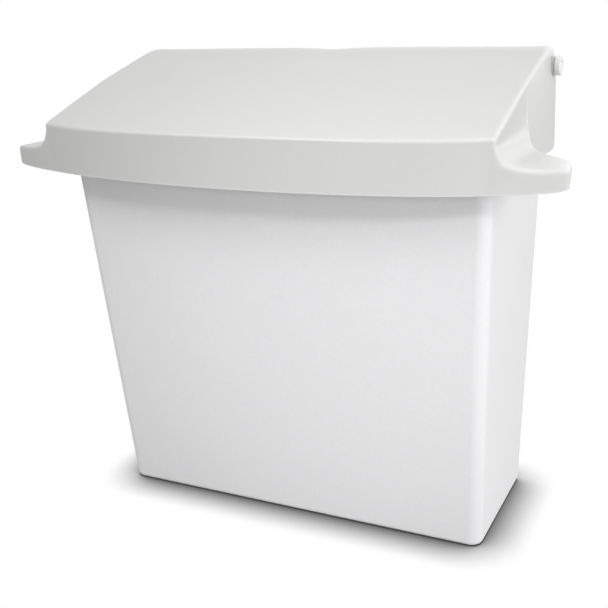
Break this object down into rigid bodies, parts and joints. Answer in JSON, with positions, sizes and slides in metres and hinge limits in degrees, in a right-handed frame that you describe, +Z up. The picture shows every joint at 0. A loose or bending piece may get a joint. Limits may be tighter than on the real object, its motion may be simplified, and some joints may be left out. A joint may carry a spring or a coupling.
{
  "type": "wall mount waste receptacle",
  "caption": "Small tapered wall-mount waste receptacle with a sloping hinged hood, side lifting ears and a rigid lift-out liner.",
  "frame": {"origin": "centre of the bottom of the whole bin's box, on the surface that it stands on", "axes": "+Z up, -Y towards the hood's bowed front, +Y towards the wall, +X to the right seen from the front"},
  "size_m": [0.3232, 0.1351, 0.2702],
  "materials": {
    "body_white": "semi-gloss moulded",
    "lid_white": "semi-gloss moulded",
    "liner": "satin moulded",
    "pin": "satin moulded",
    "clip": "spring steel",
    "bumper": "soft matt",
    "foam": "closed-cell foam",
    "film": "waxed release paper"
  },
  "bodies": {
    "body": {"body": "body_white", "hinge_pin_left": "pin", "hinge_pin_right": "pin", "hinge_clip_left": "clip", "hinge_clip_right": "clip", "tape_upper": "foam", "tape_lower": "foam", "tape_film_upper": "film", "tape_film_lower": "film"},
    "lid": {"lid": "lid_white", "lid_bumper_left": "bumper", "lid_bumper_right": "bumper"},
    "liner": {"liner": "liner"}
  },
  "joints": [
    {"name": "lid_hinge", "type": "hinge", "parent": "body", "child": "lid", "pos_m": [0, 0.05515, 0.2597], "axis": [-1, 0, 0], "range_deg": [0, 100]},
    {"name": "liner_lift", "type": "slide", "parent": "body", "child": "liner", "axis": [0, 0, 1], "range_m": [0, 0.01]}
  ]
}
